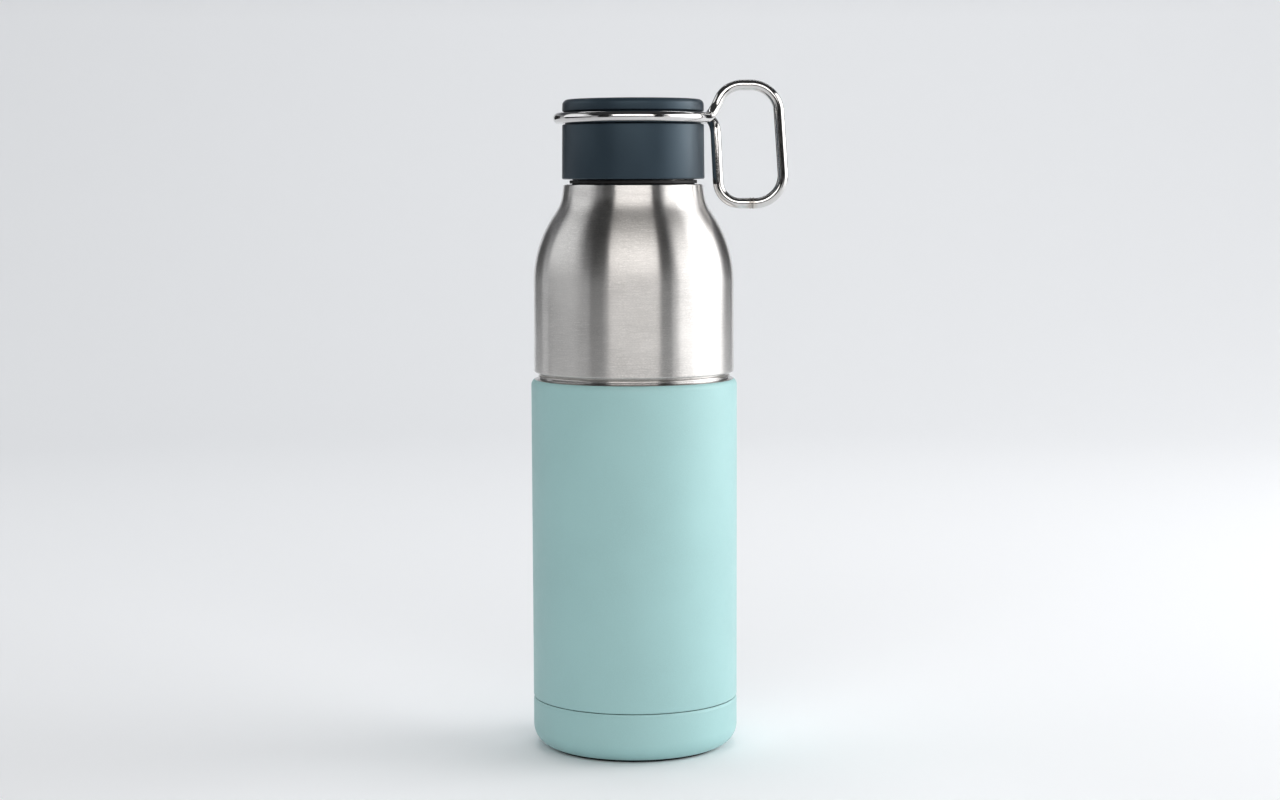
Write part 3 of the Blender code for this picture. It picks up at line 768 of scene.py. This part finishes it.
def make_lid_plug():
    """Threaded insert with the hollow plug; its thread stands inwards."""
    points = rounded([
        (0.0, CUP_FLOOR_Z),
        (CUP_R, CUP_FLOOR_Z, EDGE * 2),
        (CUP_R, insert_high.z, EDGE),
        (insert_high.x, insert_high.z, EDGE),
        (insert_high.x, insert_low.z, EDGE),
        (THREAD_ROOT_R, insert_low.z),
    ])[:-1]
    wall = rows_between(THREAD_ROOT_R, INSERT_CEILING_Z - EDGE, insert_low.z)
    points += wall[::-1]
    points += rounded([
        (THREAD_ROOT_R, INSERT_CEILING_Z - EDGE),
        (THREAD_ROOT_R, INSERT_CEILING_Z),
        (PLUG_R, INSERT_CEILING_Z, EDGE),
        (PLUG_R, PLUG_FOOT_Z, PLUG_EDGE),
        (PLUG_DISH_R + PLUG_DISH_DEPTH, PLUG_FOOT_Z, PLUG_DISH_DEPTH),
        (PLUG_DISH_R, PLUG_FOOT_Z + PLUG_DISH_DEPTH, PLUG_DISH_DEPTH),
        (0.0, PLUG_FOOT_Z + PLUG_DISH_DEPTH),
    ])[1:]

    def swell(angle, radius, z):
        if abs(radius - THREAD_ROOT_R) > GAP / 10 or z > INSERT_CEILING_Z - EDGE / 2:
            return 0.0
        return -thread_height(angle + math.pi, z, LID_RIDGE_START_Z, LID_RIDGE_TURNS,
                              LID_RIDGE_HEIGHT)

    plug = lathe("lid_plug", points, swell=swell)
    plastic = moulded_plastic("insert_plastic", INSERT_BLACK, 0.42)
    finish_mesh(plug, plastic, "lid", "insert_plastic", "lid_insert")


def make_gasket():
    """Silicone seal under the insert's ceiling."""
    points = rounded([
        (gasket_high.x, gasket_high.z, GASKET_EDGE),
        (gasket_high.x, gasket_low.z, GASKET_EDGE),
        (GASKET_BORE_R, gasket_low.z, GASKET_EDGE),
        (GASKET_BORE_R, gasket_high.z, GASKET_EDGE),
    ], closed=True)
    gasket = lathe("seal_ring", points, closed=True, segments=SMALL_SEGMENTS)
    rubber = silicone("gasket_silicone", GASKET_CLEAR, 0.4, clear=0.4)
    finish_mesh(gasket, rubber, "lid_seal", "gasket_silicone", "lid_gasket")


# ---- wire -----------------------------------------------------------------------------------
def tangent_angle(bend, side):
    """Angle round the lid at which a straight run to the bend leaves the ring."""
    distance = math.hypot(bend.x, bend.y)
    return math.atan2(bend.y, bend.x) + side * math.acos(RING_R / distance)


def wire_route():
    """Centre line of the closed wire and its thickness factor at each point."""
    front_bend, front_radius = FRONT_BEND
    back_bend, back_radius = BACK_BEND
    start = tangent_angle(front_bend, -1)
    sweep = 2 * math.pi - (tangent_angle(back_bend, 1) - start)
    steps = math.ceil(sweep / RING_STEP)
    route = []
    for i in range(steps + 1):
        angle = start - sweep * i / steps
        route.append(Vector((RING_R * math.cos(angle), RING_R * math.sin(angle), RING_Z)))
    corners = [route[-1], back_bend, *[corner for corner, _ in LOOP_BENDS], front_bend, route[0]]
    radii = [back_radius, *[radius for _, radius in LOOP_BENDS], front_radius]
    for i, radius in enumerate(radii, start=1):
        route.extend(bend_points(corners[i - 1], corners[i], corners[i + 1], radius, BEND_STEP))
        if corners[i] == LOOP_BENDS[0][0]:
            for k in range(WELD_POINTS):
                away = WELD_REACH * (2 * k / (WELD_POINTS - 1) - 1)
                route.append(WELD + Vector((away, 0.0, 0.0)))
    thickness = []
    for point in route:
        away = (point - WELD).length
        ridge = math.exp(-((away - WELD_HALF_GAP) / WELD_RIDGE_WIDTH) ** 2)
        thickness.append(1 + ridge * WELD_RIDGE / WIRE_R)
    return route, thickness


def make_wire():
    """The closed wire as one smooth tube with its butt weld."""
    route, thickness = wire_route()
    curve = bpy.data.curves.new("wire_route", 'CURVE')
    curve.dimensions = '3D'
    curve.bevel_depth = WIRE_R
    curve.bevel_resolution = WIRE_BEVEL
    spline = curve.splines.new('POLY')
    spline.points.add(len(route) - 1)
    for point, place, factor in zip(spline.points, route, thickness):
        point.co = (*place, 1.0)
        point.radius = factor
    spline.use_cyclic_u = True
    source = bpy.data.objects.new("wire_route", curve)
    bpy.context.scene.collection.objects.link(source)
    graph = bpy.context.evaluated_depsgraph_get()
    mesh = bpy.data.meshes.new_from_object(source.evaluated_get(graph))
    bpy.data.objects.remove(source, do_unlink=True)
    mesh.materials.clear()
    wire = bpy.data.objects.new("wire_ring", mesh)
    finish_mesh(wire, drawn_wire(), "handle", "polished_wire", "carry_ring")


# ---- camera, light and floor ----------------------------------------------------------------
def make_camera():
    """Camera a little above the shoulder, looking slightly down at the bottle."""
    data = bpy.data.cameras.new("camera")
    data.lens = CAMERA_LENS
    data.sensor_width = SENSOR_WIDTH
    data.sensor_fit = 'HORIZONTAL'
    camera = bpy.data.objects.new("camera", data)
    camera.location = CAMERA_PLACE
    camera.rotation_euler = (math.pi / 2 + CAMERA_PITCH, CAMERA_ROLL, 0.0)
    bpy.context.scene.collection.objects.link(camera)
    bpy.context.scene.camera = camera


def softbox(name, place, aim, size, watts, color):
    """Rectangular soft light aimed at a point, unseen by the camera."""
    data = bpy.data.lights.new(name, 'AREA')
    data.shape = 'RECTANGLE'
    data.size, data.size_y = size
    data.energy = watts
    data.color = color
    light = bpy.data.objects.new(name, data)
    light.location = place
    light.rotation_euler = (Vector(aim) - Vector(place)).to_track_quat('-Z', 'Y').to_euler()
    light.visible_camera = False
    light.visible_glossy = name not in UNSEEN_IN_GLOSS
    bpy.context.scene.collection.objects.link(light)


def around(degrees, distance, height):
    """Point at an angle round from the camera's side of the bottle, positive to the right."""
    angle = math.radians(degrees)
    return Vector((distance * math.sin(angle), -distance * math.cos(angle), height))


def flag(cloth, name, degrees, distance, width, foot_z, top_z, blocks_light=True):
    """Upright black board, unseen by the camera, that gives the steel its dark streaks."""
    board = bmesh.new()
    bmesh.ops.create_grid(board, x_segments=1, y_segments=1, size=0.5)
    bmesh.ops.scale(board, vec=(width, top_z - foot_z, 1.0), verts=board.verts)
    mesh = bpy.data.meshes.new(name)
    board.to_mesh(mesh)
    board.free()
    obj = bpy.data.objects.new(name, mesh)
    obj.location = around(degrees, distance, (foot_z + top_z) / 2)
    obj.rotation_euler = (math.pi / 2, 0.0, math.radians(degrees))
    obj.visible_camera = False
    obj.visible_shadow = blocks_light
    obj.visible_diffuse = blocks_light
    mesh.materials.append(cloth)
    bpy.context.scene.collection.objects.link(obj)


def make_studio():
    """Pale round studio: a floor that curves up into its wall, painted darker up the wall as painted
    shade, soft boxes, flags and a dim sky.
    """
    points = rounded([
        (0.0, 0.0),
        (STUDIO_R, 0.0, STUDIO_CURVE_R),
        (STUDIO_R, STUDIO_HEIGHT),
    ])
    studio = lathe("studio_floor", points[::-1], segments=SMALL_SEGMENTS)
    studio.data.flip_normals()
    studio.data.shade_smooth()
    paper = Finish("studio_paper", PAPER_COLOR, 0.9, Specular_IOR_Level=0.2)
    height = paper.node("ShaderNodeSeparateXYZ", {0: paper.place}).outputs["Z"]
    # painted shade: the paper darkens towards the top of the wall
    paper.tint(height, PAPER_SHADE_COLOR, 1.0, *PAPER_SHADE_FADE)
    studio.data.materials.append(paper.material)
    bpy.context.scene.collection.objects.link(studio)
    world = bpy.data.worlds.new("studio_sky")
    world.use_nodes = True
    sky = world.node_tree.nodes["Background"]
    sky.inputs["Color"].default_value = (*SKY_COLOR, 1.0)
    sky.inputs["Strength"].default_value = SKY_STRENGTH
    bpy.context.scene.world = world
    for name, degrees, distance, height, *settings in SOFTBOXES:
        softbox(name, around(degrees, distance, height), *settings)
    cloth = Finish("flag_cloth", FLAG_BLACK, 0.9).material
    for settings in FLAGS:
        flag(cloth, *settings)
    for settings in REAR_FLAGS:
        flag(cloth, *settings, blocks_light=False)
    bpy.context.scene.view_settings.view_transform = 'Standard'


def dress_hidden_nodes():
    """Finishes of the small pieces inside, which keep their CAD shape."""
    finishes = {
        "vacuum_seal": solder_glass(),
        "getter": pressed_powder(),
        "getter_clip": brushed_round("clip_steel", CLIP_STEEL, 0.35, anisotropy=0.3,
                                     line_depth=0.000002),
        "lid_foam": bead_foam(),
    }
    for node, mat in finishes.items():
        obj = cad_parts[node]
        obj.data.materials.clear()
        obj.data.materials.append(mat)


def main():
    """Make the camera, the studio and every piece."""
    make_camera()
    make_studio()
    coat = soft_coat("barrel_coat", COAT_GREEN)
    # the groove's steel edge gets darker steel, painted shade under the shoulder
    shaded_edge_steel = brushed_round("shaded_edge_steel", SHADED_EDGE_STEEL, 0.24, anisotropy=0.85,
                               line_depth=0.0000015)
    lid_plastic = moulded_plastic("lid_plastic", LID_BLUE, 0.40)
    make_shoulder()
    make_barrel(coat, shaded_edge_steel)
    make_base(coat)
    make_foot_pad()
    make_liner()
    make_neck_band()
    make_lid_side(lid_plastic)
    make_lid_cap(lid_plastic)
    make_lid_plug()
    make_gasket()
    make_wire()
    dress_hidden_nodes()


main()
